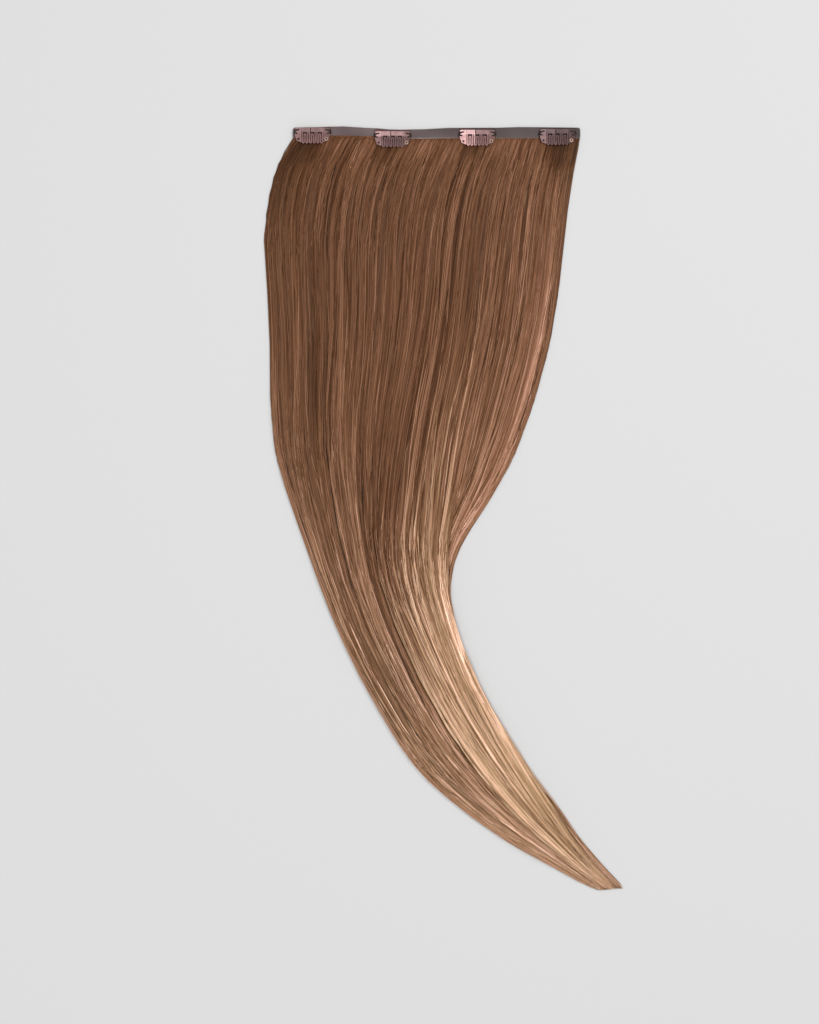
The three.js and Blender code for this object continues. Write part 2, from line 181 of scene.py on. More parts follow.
def skin_finish():
    """Clouded skin, streaked where the roots are set in, with painted shade under the clips and towards the
    right.
    """
    finish, tree, shader = new_finish("poured skin")
    place = add_node(tree, "ShaderNodeTexCoord").outputs["Object"]
    split = add_node(tree, "ShaderNodeSeparateXYZ")
    tree.links.new(place, split.inputs["Vector"])
    clouds = stretched_noise(tree, place, (1, 1.6, 1), 26, 2)
    roots = stretched_noise(tree, place, (1, 0.12, 1), 1400, 2)
    skin = colour_ramp(tree, clouds, [(0.4, BAND_SKIN), (0.68, BAND_CLOUDED)])
    streaks = colour_ramp(tree, roots, [(0.35, ROOT_STREAK_DARK), (0.65, ROOT_STREAK_PALE)])
    streaked = blend_colours(tree, "MULTIPLY", 0.8, streaks, BAND_ROOTS)
    rooted = between_limits(tree, split.outputs["Y"], ROOTS_TO, ROOTS_FROM)
    colour = blend_colours(tree, "MIX", rooted, skin, streaked)
    # Painted shade under and beside each clip, and towards the band's right end
    shade = 0.0
    for number in CLIP_NUMBERS:
        away = calculate(tree, "SUBTRACT", split.outputs["X"], clip_place(number)[0])
        beside = calculate(tree, "ABSOLUTE", away)
        near = between_limits(tree, beside, CLIP_HALF + SHADE_PAST_CLIP, CLIP_HALF - SHADE_UNDER_CLIP)
        shade = calculate(tree, "ADD", near, shade)
    right = between_limits(tree, split.outputs["X"], RIGHT_FROM, RIGHT_TO)
    darkened = blend_colours(tree, "MULTIPLY", right, colour, BAND_RIGHT_SHADE)
    shaded = blend_colours(tree, "MULTIPLY", shade, darkened, BAND_SHADE)
    tree.links.new(shaded, shader.inputs["Base Color"])
    shader.inputs["Roughness"].default_value = 0.42
    shader.inputs["Specular IOR Level"].default_value = 0.35
    add_bump(tree, clouds, 0.4, 0.0006, shader)
    return finish


def refinish(node_name, finish):
    """Puts a finish on a CAD node in place of its plain one."""
    node = nodes[node_name]
    node.data.materials.clear()
    node.data.materials.append(finish)
    return node


def round_edges(piece, width, segments=3):
    """Breaks the sharp edges of a piece, as tumbling or moulding does."""
    bevel = piece.modifiers.new("rounded edges", "BEVEL")
    bevel.width = width
    bevel.segments = segments
    bevel.limit_method = "ANGLE"
    bevel.angle_limit = math.radians(40)
    bevel.harden_normals = True


band = refinish("band", skin_finish())
round_edges(band, BAND_EDGE_RADIUS)


# Each clip is stamped from spring sheet and painted in a rosy brown with a metal sheen. Its two halves
# tilt a little, so that the left one takes the light. Threads hold it flat on the band, comb side up.
CLIP_PAINT = (0.2, 0.112, 0.112, 1)
CLIP_PAINT_WORN = (0.28, 0.172, 0.172, 1)
# Painted shade in the clip's recesses, fading in between RECESS_ABOVE and RECESS_BELOW
CLIP_RECESS_SHADE = (0.3, 0.2, 0.19, 1)
RECESS_BELOW = 2.25 * MM
RECESS_ABOVE = 2.9 * MM
BAR_DEPTH = 3 * MM
COMB_FADE = 1 * MM
CLIP_EDGE_RADIUS = 0.08 * MM
GRAIN_HEIGHT = 0.06 * MM
# Painted shade on the comb below the bar, darker and redder than the rest of the clip
COMB_SHADE_TINT = (0.84, 0.74, 0.71, 1)

# Painted light: how brightly each clip is lit, and how brightly its comb is lit against the rest of it
CLIP_LIGHTING = {1: 1.3, 2: 2.1, 3: 1.7, 4: 0.66}
COMB_LIGHTING = {1: 1.18, 2: 0.52, 3: 0.97, 4: 1.28}

LOBE_SHADE = (0.66, 0.64, 0.62, 1)
LOBE_FROM = 7 * MM
LOBE_TO = 9 * MM

# How steeply each clip's two halves rise away from the fold between them
LEFT_TILTS = {1: 0.04, 2: 0.09, 3: 0.25, 4: 0.09}
RIGHT_TILTS = {1: 0.12, 2: 0.1, 3: 0.18, 4: 0.22}
FOLD_FROM_MIDDLE = -1.3 * MM

# Painted shade in and round the lower left sewing hole
HOLE_EDGE = 0.75 * MM
HOLE_RIM = 1.0 * MM
HOLE_SHADE = (0.035, 0.014, 0.012, 1)


def paint_finish(number):
    """One clip's paint, with painted shade in its recesses, on its right lobe and in its lower left hole,
    and painted light over the whole clip and on its comb.
    """
    finish, tree, shader = new_finish(f"clip {number} paint")
    place = add_node(tree, "ShaderNodeTexCoord").outputs["Object"]
    split = add_node(tree, "ShaderNodeSeparateXYZ")
    tree.links.new(place, split.inputs["Vector"])
    tone = stretched_noise(tree, place, (1, 1, 1), 230, 4)
    paint = colour_ramp(tree, tone, [(0.35, CLIP_PAINT), (0.75, CLIP_PAINT_WORN)])
    # Painted shade low down in the recesses
    deep = between_limits(tree, split.outputs["Z"], RECESS_ABOVE, RECESS_BELOW)
    colour = blend_colours(tree, "MULTIPLY", deep, paint, CLIP_RECESS_SHADE)
    # Painted light: each clip's paint is scaled to how brightly it is lit
    lit_clip = add_node(tree, "ShaderNodeVectorMath", operation="SCALE")
    lit_clip.inputs["Scale"].default_value = CLIP_LIGHTING[number]
    middle, top = clip_place(number)
    # Painted light and shade on the comb below the bar
    below = between_limits(tree, split.outputs["Y"], top - BAR_DEPTH, top - BAR_DEPTH - COMB_FADE)
    comb_shade_tint = tuple(COMB_LIGHTING[number] * part for part in COMB_SHADE_TINT[:3]) + (1,)
    comb_shaded = blend_colours(tree, "MULTIPLY", below, colour, comb_shade_tint)
    # Painted shade on the right lobe
    lobe = between_limits(tree, split.outputs["X"], middle + LOBE_FROM, middle + LOBE_TO)
    shaded = blend_colours(tree, "MULTIPLY", lobe, comb_shaded, LOBE_SHADE)
    # Painted shade: the lower left sewing hole, opposite the eyelet, is dark
    eyelet_low, eyelet_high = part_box(f"clip_{number}_eyelet")
    hole_x = 2 * middle - (eyelet_low.x + eyelet_high.x) / 2
    hole_y = (eyelet_low.y + eyelet_high.y) / 2
    from_x = calculate(tree, "POWER", calculate(tree, "SUBTRACT", split.outputs["X"], hole_x), 2)
    from_y = calculate(tree, "POWER", calculate(tree, "SUBTRACT", split.outputs["Y"], hole_y), 2)
    distance = calculate(tree, "SQRT", calculate(tree, "ADD", from_x, from_y))
    holed = between_limits(tree, distance, HOLE_RIM, HOLE_EDGE)
    tree.links.new(blend_colours(tree, "MIX", holed, shaded, HOLE_SHADE), lit_clip.inputs[0])
    tree.links.new(lit_clip.outputs["Vector"], shader.inputs["Base Color"])
    shader.inputs["Metallic"].default_value = 0.5
    shader.inputs["Roughness"].default_value = 0.33
    shader.inputs["Specular IOR Level"].default_value = 0.9
    away = calculate(tree, "SUBTRACT", split.outputs["X"], middle + FOLD_FROM_MIDDLE)
    left = calculate(tree, "MULTIPLY", calculate(tree, "MINIMUM", away, 0.0), -LEFT_TILTS[number])
    right = calculate(tree, "MULTIPLY", calculate(tree, "MAXIMUM", away, 0.0), RIGHT_TILTS[number])
    grain = calculate(tree, "MULTIPLY", stretched_noise(tree, place, (1, 1, 1), 900, 3), GRAIN_HEIGHT)
    tilted = calculate(tree, "ADD", left, right)
    add_bump(tree, calculate(tree, "ADD", tilted, grain), 1, 1, shader)
    return finish


for number in CLIP_NUMBERS:
    paint = paint_finish(number)
    for part in ("frame", "comb"):
        round_edges(refinish(f"clip_{number}_{part}", paint), CLIP_EDGE_RADIUS, 2)


# The eyelet is a small tube rivet of pale brass, rolled over at the clip's lower right hole, which joins
# the bow to the lobe. It is bright on its lip, with painted shade down its bore.
EYELET_BRASS = (0.62, 0.42, 0.33, 1)
EYELET_TARNISH = (0.36, 0.2, 0.14, 1)
EYELET_BORE_SHADE = (0.03, 0.014, 0.01, 1)
BORE_BELOW = 2.9 * MM
BORE_ABOVE = 3.35 * MM
EYELET_EDGE_RADIUS = 0.06 * MM


def brass_finish():
    """Brass with a little tarnish, with painted shade down the bore."""
    finish, tree, shader = new_finish("eyelet brass")
    place = add_node(tree, "ShaderNodeTexCoord").outputs["Object"]
    split = add_node(tree, "ShaderNodeSeparateXYZ")
    tree.links.new(place, split.inputs["Vector"])
    tarnish = stretched_noise(tree, place, (1, 1, 1), 700, 3)
    bright = colour_ramp(tree, tarnish, [(0.45, EYELET_BRASS), (0.85, EYELET_TARNISH)])
    # Painted shade down the bore
    deep = between_limits(tree, split.outputs["Z"], BORE_ABOVE, BORE_BELOW)
    colour = blend_colours(tree, "MIX", deep, bright, EYELET_BORE_SHADE)
    tree.links.new(colour, shader.inputs["Base Color"])
    shader.inputs["Metallic"].default_value = 0.85
    shader.inputs["Roughness"].default_value = 0.3
    add_bump(tree, tarnish, 0.1, 0.0001, shader)
    return finish


brass = brass_finish()
for number in CLIP_NUMBERS:
    round_edges(refinish(f"clip_{number}_eyelet", brass), EYELET_EDGE_RADIUS, 2)


# Dark brown sewing thread holds each clip. Three turns come up through each of a lobe's two sewing holes,
# cross the lobe's edge and go down into the band at one stitch beside it.
THREAD_RADIUS = 0.29 * MM
THREAD_SIDES = 6
THREAD_TURNS = 3
THREAD_FAN = 0.48 * MM
THREAD_STEPS = 14
THREAD_CLEAR = 0.3 * MM
THREAD_DARK = (0.012, 0.006, 0.004, 1)
THREAD_PALE = (0.05, 0.026, 0.02, 1)
SHEET_TOP = 3.1 * MM
SHEET_BOTTOM = 2.5 * MM
BAND_FACE = 1.2 * MM

# Where each turn starts and crosses the lobe's edge, from the clip's middle and its top, in millimetres
SEWING = (
    dict(hole=(9.48, -1.41), edge=(12.1, -1.95), stitch=(13.0, -3.0)),
    dict(hole=(10.78, -4.04), edge=(12.3, -3.3), stitch=(13.0, -3.2)),
)


def tube_mesh(name, lines, radius, sides):
    """One mesh of round tubes that follow lines of points."""
    vertices = []
    faces = []
    angles = np.linspace(0, 2 * math.pi, sides, endpoint=False)
    for line in lines:
        along = np.gradient(line, axis=0)
        along /= np.linalg.norm(along, axis=1, keepdims=True)
        level = np.cross(along, (0.3, 1.0, 0.2))
        level /= np.linalg.norm(level, axis=1, keepdims=True)
        upright = np.cross(level, along)
        ring = level[:, None] * np.cos(angles)[:, None] + upright[:, None] * np.sin(angles)[:, None]
        base = len(vertices)
        vertices.extend((line[:, None] + radius * ring).reshape(-1, 3).tolist())
        for step in range(len(line) - 1):
            for side in range(sides):
                a = base + step * sides + side
                b = base + step * sides + (side + 1) % sides
                faces.append((a, b, b + sides, a + sides))
    mesh = bpy.data.meshes.new(name)
    mesh.from_pydata(vertices, [], faces)
    mesh.shade_smooth()
    piece = bpy.data.objects.new(name, mesh)
    bpy.context.scene.collection.objects.link(piece)
    return piece


def smooth_line(points, steps):
    """A curve through the middle of each leg of a line of points, from its first point to its last."""
    points = np.array(points)
    fine = np.linspace(0, len(points) - 1, 8 * steps)
    line = np.stack([np.interp(fine, np.arange(len(points)), points[:, axis]) for axis in range(3)], axis=1)
    for smoothing in range(3 * steps):
        line[1:-1] = (line[:-2] + 2 * line[1:-1] + line[2:]) / 4
    return line[np.linspace(0, len(line) - 1, steps).astype(int)]


def thread_lines(number):
    """The lines of all thread turns of one clip."""
    middle, top = clip_place(number)
    lines = []
    for side in (-1, 1):
        for sewing in SEWING:
            for turn in range(THREAD_TURNS):
                fan = (turn - 1) * THREAD_FAN
                lift = THREAD_RADIUS * (1 + 0.5 * (turn == 1))
                across = [side * sewing[spot][0] * MM for spot in ("hole", "edge", "stitch")]
                down = [sewing[spot][1] * MM for spot in ("hole", "edge", "stitch")]
                lines.append(smooth_line([
                    (middle + across[0], top + down[0], SHEET_BOTTOM),
                    (middle + across[0], top + down[0] + 0.2 * fan, SHEET_TOP + lift),
                    (middle + across[1], top + down[1] + fan, SHEET_TOP + lift),
                    (middle + across[1] + side * THREAD_CLEAR, top + down[1] + fan, SHEET_BOTTOM),
                    (middle + across[2], top + down[2] + 0.3 * fan, BAND_FACE + 0.5 * THREAD_RADIUS),
                ], THREAD_STEPS))
    return lines


def thread_finish():
    """Dark thread with the mottle of its twist."""
    finish, tree, shader = new_finish("sewing thread")
    place = add_node(tree, "ShaderNodeTexCoord").outputs["Object"]
    twist = stretched_noise(tree, place, (1, 1, 1), 1800, 2)
    colour = colour_ramp(tree, twist, [(0.35, THREAD_DARK), (0.7, THREAD_PALE)])
    tree.links.new(colour, shader.inputs["Base Color"])
    shader.inputs["Roughness"].default_value = 0.6
    return finish


thread = thread_finish()
for number in CLIP_NUMBERS:
    stitches = tube_mesh(f"clip_{number}_thread", thread_lines(number), THREAD_RADIUS, THREAD_SIDES)
    stitches.data.materials.append(thread)
    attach(stitches, "root")


# The hair is human hair, drawn straight, brown at the roots and bleached in painted streaks to blonde at
# the ends. It leaves the band in one sheet and falls into twelve locks. Low down, three locks right of the
# middle lie over the others.
fall_low, fall_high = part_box("hair_fall")
band_low, band_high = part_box("band")
BAND_WIDTH = band_high.x - band_low.x
HAIR_TOP = fall_high.y + 0.3 * MM
HAIR_DROP = HAIR_TOP - fall_low.y
HAIR_THICKNESS = fall_high.z

# The hair's left and right edges, as shares of the band's width across and of the hair's drop down, and
# its thickness as a share of the greatest
LEFT_ACROSS, LEFT_DOWN, RIGHT_ACROSS, RIGHT_DOWN, THICK = range(5)
EDGE_STATIONS = np.array([
    (-0.498, 0.0, 0.498, 0.0, 0.1),
    (-0.545, 0.028, 0.486, 0.028, 0.2),
    (-0.579, 0.068, 0.467, 0.065, 0.34),
    (-0.601, 0.128, 0.448, 0.124, 0.46),
    (-0.59, 0.201, 0.428, 0.194, 0.54),
    (-0.581, 0.274, 0.397, 0.267, 0.6),
    (-0.579, 0.347, 0.345, 0.343, 0.67),
    (-0.56, 0.42, 0.272, 0.42, 0.76),
    (-0.51, 0.483, 0.18, 0.483, 0.86),
    (-0.456, 0.54, 0.087, 0.536, 0.95),
    (-0.386, 0.613, 0.049, 0.586, 1.0),
    (-0.291, 0.693, 0.06, 0.636, 1.0),
    (-0.173, 0.773, 0.124, 0.71, 0.97),
    (-0.055, 0.839, 0.208, 0.769, 0.9),
    (0.102, 0.892, 0.303, 0.828, 0.78),
    (0.252, 0.932, 0.404, 0.879, 0.64),
    (0.43, 0.97, 0.503, 0.935, 0.48),
    (0.515, 0.989, 0.58, 0.968, 0.34),
    (0.57, 0.999, 0.655, 0.997, 0.2),
])

# Each lock's places across the hair at the shares of its length in PLACE_AT, its width, its height, how far
# it is lifted over other locks, where its lightening starts and is full, how blonde it gets and its tone
PLACE_AT = (0, 0.4, 0.53, 0.64, 0.75, 0.86, 1)
LOCK_COLUMNS = ("places", "width", "height", "lift", "start", "full", "blonde", "tone")
LOCK_ROWS = (
    ((0.04, 0.05, 0.05, 0.05, 0.05, 0.05, 0.06), 0.13, 0.62, 0.00, 0.22, 0.98, 0.86, 0.93),
    ((0.12, 0.12, 0.13, 0.13, 0.13, 0.11, 0.11), 0.14, 0.78, 0.00, 0.22, 0.92, 0.78, 1.02),
    ((0.20, 0.19, 0.22, 0.22, 0.21, 0.17, 0.16), 0.12, 0.62, 0.00, 0.26, 0.98, 0.62, 0.88),
    ((0.29, 0.27, 0.31, 0.32, 0.31, 0.24, 0.21), 0.14, 0.80, 0.00, 0.26, 0.84, 0.72, 1.06),
    ((0.38, 0.34, 0.39, 0.42, 0.41, 0.31, 0.27), 0.12, 0.66, 0.00, 0.31, 0.88, 0.57, 0.98),
    ((0.47, 0.42, 0.47, 0.53, 0.52, 0.38, 0.33), 0.13, 0.72, 0.00, 0.32, 0.90, 0.68, 1.05),
    ((0.57, 0.49, 0.53, 0.62, 0.60, 0.44, 0.41), 0.11, 0.92, 0.40, 0.48, 0.72, 0.96, 1.10),
    ((0.65, 0.58, 0.68, 0.76, 0.75, 0.57, 0.48), 0.15, 0.90, 0.40, 0.32, 0.74, 0.88, 1.05),
    ((0.73, 0.67, 0.86, 0.93, 0.92, 0.74, 0.56), 0.15, 1.00, 0.40, 0.24, 0.70, 0.96, 1.08),
    ((0.80, 0.76, 0.91, 0.86, 0.80, 0.80, 0.70), 0.13, 0.66, 0.00, 0.12, 0.80, 0.62, 1.19),
    ((0.88, 0.86, 0.92, 0.84, 0.78, 0.86, 0.82), 0.13, 0.60, 0.00, 0.04, 0.80, 0.58, 1.22),
    ((0.96, 0.95, 0.94, 0.82, 0.76, 0.91, 0.93), 0.12, 0.52, 0.00, 0.04, 0.85, 0.56, 1.20),
)
LOCKS = [dict(zip(LOCK_COLUMNS, row)) for row in LOCK_ROWS]
FIRST_UPPER = LOCKS[6]
LAST_UPPER = LOCKS[8]

# Where along the hair the upper locks rise over the lower ones, and the shade beside them and at the combs
OVER_FROM = 0.4
OVER_TO = 0.52
WIDENING = 0.5
ROOTED_TO = 0.03
CREASE_WIDTH = 0.045
CREASE_SHADE = 0.55
COMB_REACH = 11.4 * MM
COMB_REACH_FADE = 2.4 * MM
COMB_SIDE = 7 * MM
COMB_SIDE_FADE = 3.5 * MM
COMB_LIGHT = 0.42

# How the strands gather in wisps and tresses, how early they end as shares of their length, and how their
# roots spread. Locks that start left of LAYERED_UP_TO are layered, so that some of their wisps end early.
STRAND_STEPS = 19
GOLDEN_SHARE = 0.618
STRAND_WIDTH = 0.32 * MM
STRANDS_IN_WISP = 12
STRANDS_END_OVER = 0.016
WISPS_IN_LOCK = 168
WISP_RADIUS = 0.62 * MM
WISP_HEIGHT = 0.4 * MM
WISPS_END_OVER = 0.05
LAYERED = 0.2
LAYERED_UP_TO = 0.15
CROSSING_SHARE = 0.3
CROSSING = 1.3
TRESSES = 4
TRESS_HEIGHT = 0.4 * MM
LOWEST_STRAND = 0.2 * MM
LOWEST_SPREAD = 0.4 * MM
ROOT_LENGTH = 0.5 * MM
LONG_ROOTS = 2.2 * MM
ROOT_FACE = 1.3 * MM
ROOT_SPREAD = 0.15 * MM

# How near each wisp may come to the hair's edge: a share of the hair's width, and a length between
# -RIM_OVER and RIM_DEPTH - RIM_OVER. Low down, a share of the wisps may stand out by LOOSE_REACH more.
RIM_MARGIN = 0.02
RIM_DEPTH = 3.3 * MM
RIM_OVER = 0.3 * MM
LOOSE_SHARE = 0.25
LOOSE_REACH = 0.8 * MM

# How blonde the roots are, how much the strands differ in shade, how dark the painted shade is in the
# valleys between tresses, and the limits of their tone
ROOT_BLONDE = 0.13
WISP_SHADE = 0.28
STRAND_CONTRAST = 0.38
UPPER_CONTRAST = 0.15
LOWER_CONTRAST = 0.75
TRESS_SHADE = 0.32
TONE_LIMITS = (0.12, 2.4)

BAKE_COLUMNS = 8
STRAY_COUNT = 90
STRAY_WIDTH = 0.16 * MM
STRAY_INSIDE = 0.012
LOOPED_SHARE = 0.6
SEED = 7


def smooth_column(column, t):
    """A smooth value between the rows of the stations, at t from 0 to 1."""
    values = EDGE_STATIONS[:, column]
    last = len(values) - 1
    place = np.clip(t, 0, 1) * last
    row = np.minimum(place.astype(int), last - 1)
    share = place - row
    a = values[np.maximum(row - 1, 0)]
    b = values[row]
    c = values[row + 1]
    d = values[np.minimum(row + 2, last)]
    return b + 0.5 * share * (c - a + share * (2 * a - 5 * b + 4 * c - d + share * (3 * (b - c) + d - a)))


def band_edge():
    """The band's lower edge as rising x values and their y values."""
    points = np.array([band.matrix_world @ vertex.co for vertex in band.data.vertices])
    lower = points[points[:, 1] < 0]
    lower = lower[np.argsort(lower[:, 0])]
    return lower[:, 0], lower[:, 1]


EDGE_X, EDGE_Y = band_edge()


def hair_point(place, t):
    """The x and y of a place across the hair, 0 at the left edge and 1 at the right, at t along it."""
    left_x = BAND_WIDTH * smooth_column(LEFT_ACROSS, t)
    left_y = HAIR_TOP - HAIR_DROP * smooth_column(LEFT_DOWN, t)
    right_x = BAND_WIDTH * smooth_column(RIGHT_ACROSS, t)
    right_y = HAIR_TOP - HAIR_DROP * smooth_column(RIGHT_DOWN, t)
    x = left_x + (right_x - left_x) * place
    rooted = np.clip(1 - t / ROOTED_TO, 0, 1) ** 2
    to_edge = np.interp(x, EDGE_X, EDGE_Y) - HAIR_TOP
    return x, left_y + (right_y - left_y) * place + rooted * to_edge


def hair_room(t):
    """How wide the hair is at t along it, and never less than a tenth of the band's width."""
    return BAND_WIDTH * np.maximum(smooth_column(RIGHT_ACROSS, t) - smooth_column(LEFT_ACROSS, t), 0.1)


def eased(share):
    """0 for a share of 0 and less, 1 for 1 and more, and smooth between them."""
    share = np.clip(share, 0, 1)
    return share * share * (3 - 2 * share)


def lock_place(lock, t):
    """The middle of a lock across the hair, at t along it."""
    spread = (-0.06, -0.03, 0, 0.03, 0.06)
    return sum(np.interp(t + offset, PLACE_AT, lock["places"]) for offset in spread) / len(spread)


def half_width(lock, t):
    """Half a lock's width, which takes a larger share of the hair where that narrows."""
    return 0.5 * lock["width"] * (1 + WIDENING * eased((t - OVER_FROM) / 0.3))


def crease_shade(lock, place, t):
    """How much light reaches a lower lock beside the upper ones, which lie over it."""
    if lock["lift"]:
        return np.ones_like(place)
    left = lock_place(FIRST_UPPER, t) - half_width(FIRST_UPPER, t) - place
    right = place - lock_place(LAST_UPPER, t) - half_width(LAST_UPPER, t)
    beside = np.maximum(left, right)
    shade = CREASE_SHADE * np.exp(-(np.maximum(beside, 0) / CREASE_WIDTH) ** 2)
    return 1 - shade * eased((t - OVER_FROM) / 0.2)


def comb_shade(x, y):
    """How much of the light reaches hair at x and y under and just below the combs of the clips."""
    light = np.ones_like(x)
    for number in CLIP_NUMBERS:
        middle, top = clip_place(number)
        beside = eased((np.abs(x - middle) - COMB_SIDE) / COMB_SIDE_FADE)
        below = eased((top - COMB_REACH - y) / COMB_REACH_FADE)
        light = light * np.maximum(np.maximum(beside, below), COMB_LIGHT)
    return light


def slow_wave(dice, count, t, size, cycles):
    """A slow random wander along each of several strands, as an array of count by steps."""
    phase = dice.uniform(0, 2 * math.pi, (count, 1))
    speed = cycles * dice.uniform(0.6, 1.4, (count, 1))
    return size * np.sin(2 * math.pi * speed * t + phase)


def staggered_steps(count):
    """The shares of their length where several strands bend, shifted so that no bends line up."""
    steps = np.tile(np.linspace(0, 1, STRAND_STEPS), (count, 1))
    shifts = (np.arange(count) * GOLDEN_SHARE) % 1 - 0.5
    steps[:, 1:-1] += shifts[:, None] / (STRAND_STEPS - 1)
    return steps


def bake_map(count, steps):
    """A UV place for each corner of each ribbon, the ribbons side by side in a few columns."""
    strand = np.arange(count)
    rows = -(-count // BAKE_COLUMNS)
    left = (strand % BAKE_COLUMNS) / BAKE_COLUMNS
    low = (strand // BAKE_COLUMNS) / rows
    along = np.linspace(0.03, 0.97, steps) / BAKE_COLUMNS
    u = np.broadcast_to((left[:, None] + along)[:, :, None], (count, steps, 2))
    v = np.broadcast_to((low[:, None] + np.array((0.2, 0.8)) / rows)[:, None, :], (count, steps, 2))
    return np.stack((u, v), axis=3).reshape(-1, 2)


def ribbons(name, paths, widths, rolls, attributes):
    """One mesh of flat ribbons. paths is strands by steps by 3, widths is strands by steps."""
    count, steps, _ = paths.shape
    along = np.gradient(paths, axis=1)
    along /= np.linalg.norm(along, axis=2, keepdims=True) + 1e-12
    up = np.array((0.0, 0.0, 1.0))
    level = np.cross(along, up)
    level /= np.linalg.norm(level, axis=2, keepdims=True) + 1e-12
    upright = np.cross(level, along)
    side = level * np.cos(rolls)[..., None] + upright * np.sin(rolls)[..., None]
    half = side * widths[..., None] / 2
    corners = np.stack((paths - half, paths + half), axis=2)
    vertices = corners.reshape(-1, 3)
    strand = np.arange(count)[:, None] * steps
    first = ((strand + np.arange(steps - 1)) * 2).ravel()
    quads = np.stack((first, first + 1, first + 3, first + 2), axis=1)
    mesh = bpy.data.meshes.new(name)
    mesh.vertices.add(len(vertices))
    mesh.vertices.foreach_set("co", vertices.ravel())
    mesh.loops.add(quads.size)
    mesh.loops.foreach_set("vertex_index", quads.ravel())
    mesh.polygons.add(len(quads))
    mesh.polygons.foreach_set("loop_start", np.arange(0, quads.size, 4))
    mesh.update(calc_edges=True)
    mesh.shade_smooth()
    uv = mesh.uv_layers.new(name="OFBake")
    uv.data.foreach_set("uv", bake_map(count, steps)[quads.ravel()].ravel())
    for label, values in attributes.items():
        attribute = mesh.attributes.new(label, "FLOAT", "POINT")
        attribute.data.foreach_set("value", np.repeat(values.ravel(), 2).astype(np.float32))
    piece = bpy.data.objects.new(name, mesh)
    bpy.context.scene.collection.objects.link(piece)
    return piece


# Light passes through pale strands and lends dark ones its warmth, so blue falls off faster than red
TONE_POWERS = {"X": 1.0, "Y": 1.15, "Z": 1.5}


def hair_finish():
    """Hair coloured by how blonde each strand is, and darkened or lit by its tone."""
    finish, tree, shader = new_finish("drawn hair")
    light = add_node(tree, "ShaderNodeAttribute", attribute_name="blonde").outputs["Fac"]
    tone = add_node(tree, "ShaderNodeAttribute", attribute_name="tone").outputs["Fac"]
    colour = colour_ramp(tree, light, [
        (0.0, (0.135, 0.051, 0.0235, 1)),
        (0.2, (0.21, 0.089, 0.041, 1)),
        (0.4, (0.335, 0.16, 0.083, 1)),
        (0.6, (0.475, 0.253, 0.143, 1)),
        (0.8, (0.66, 0.39, 0.23, 1)),
        (1.0, (0.88, 0.57, 0.355, 1)),
    ])
    tones = add_node(tree, "ShaderNodeCombineXYZ")
    for axis, power in TONE_POWERS.items():
        tree.links.new(calculate(tree, "POWER", tone, power), tones.inputs[axis])
    shade = add_node(tree, "ShaderNodeVectorMath", operation="MULTIPLY")
    tree.links.new(colour, shade.inputs[0])
    tree.links.new(tones.outputs["Vector"], shade.inputs[1])
    tree.links.new(shade.outputs["Vector"], shader.inputs["Base Color"])
    shader.inputs["Roughness"].default_value = 0.34
    shader.inputs["Specular IOR Level"].default_value = 0.2
    shader.inputs["Specular Tint"].default_value = (1.0, 0.84, 0.7, 1)
    return finish


def random_bands(dice, across, t):
    """Soft broad streaks over a lock that run along it and shift slowly."""
    total = np.zeros_like(across * t)
    for bands in (1.3, 2.4, 4.1):
        turns = bands * across / 2 + dice.uniform(-1.2, 1.2) * t + dice.uniform(0, 1)
        total = total + np.sin(2 * math.pi * turns)
    return total


def draw_strands(lock, dice):
    """What sets each wisp and each strand of a lock apart, as a row for every strand."""
    wisps = WISPS_IN_LOCK
    hair = SimpleNamespace(count=wisps * STRANDS_IN_WISP)
    hair.wisp = np.repeat(np.arange(wisps), STRANDS_IN_WISP)
    hair.wisp_steps = staggered_steps(wisps)
    hair.steps = hair.wisp_steps[hair.wisp]

    def each_wisp(values):
        return values[hair.wisp][:, None]

    spaced = (np.arange(wisps) + dice.uniform(0, 1, wisps)) / wisps * 2 - 1
    hair.wisp_side = each_wisp(dice.permutation(spaced))
    hair.depth = each_wisp(dice.uniform(0, 1, wisps) ** 1.5)
    hair.shade = each_wisp(WISP_SHADE + dice.normal(0, 0.12, wisps) - dice.exponential(0.3, wisps))
    hair.light = each_wisp(dice.normal(0, 1, wisps))
    layered = LAYERED * (lock["places"][0] < LAYERED_UP_TO)
    early = dice.uniform(0, 1, wisps)
    hair.early = each_wisp(early)
    wisp_end = each_wisp(-WISPS_END_OVER * early - layered * early**4)
    hair.size = each_wisp(dice.uniform(0.3, 1.5, wisps))
    hair.rim = each_wisp(dice.uniform(0, 1, wisps))
    crosses = dice.uniform(0, 1, wisps) < CROSSING_SHARE
    hair.crossing = each_wisp(np.where(crosses, dice.uniform(-CROSSING, CROSSING, wisps), 0))
    hair.bent = each_wisp(dice.uniform(0.25, 0.75, wisps))

    turn = dice.uniform(0, 2 * math.pi, (hair.count, 1))
    reach = np.sqrt(dice.uniform(0, 1, (hair.count, 1)))
    hair.side = reach * np.cos(turn)
    hair.up = reach * np.sin(turn)
    strand_end = -np.abs(dice.normal(0, STRANDS_END_OVER, (hair.count, 1)))
    hair.t = hair.steps * (1 + wisp_end + strand_end)
    return hair


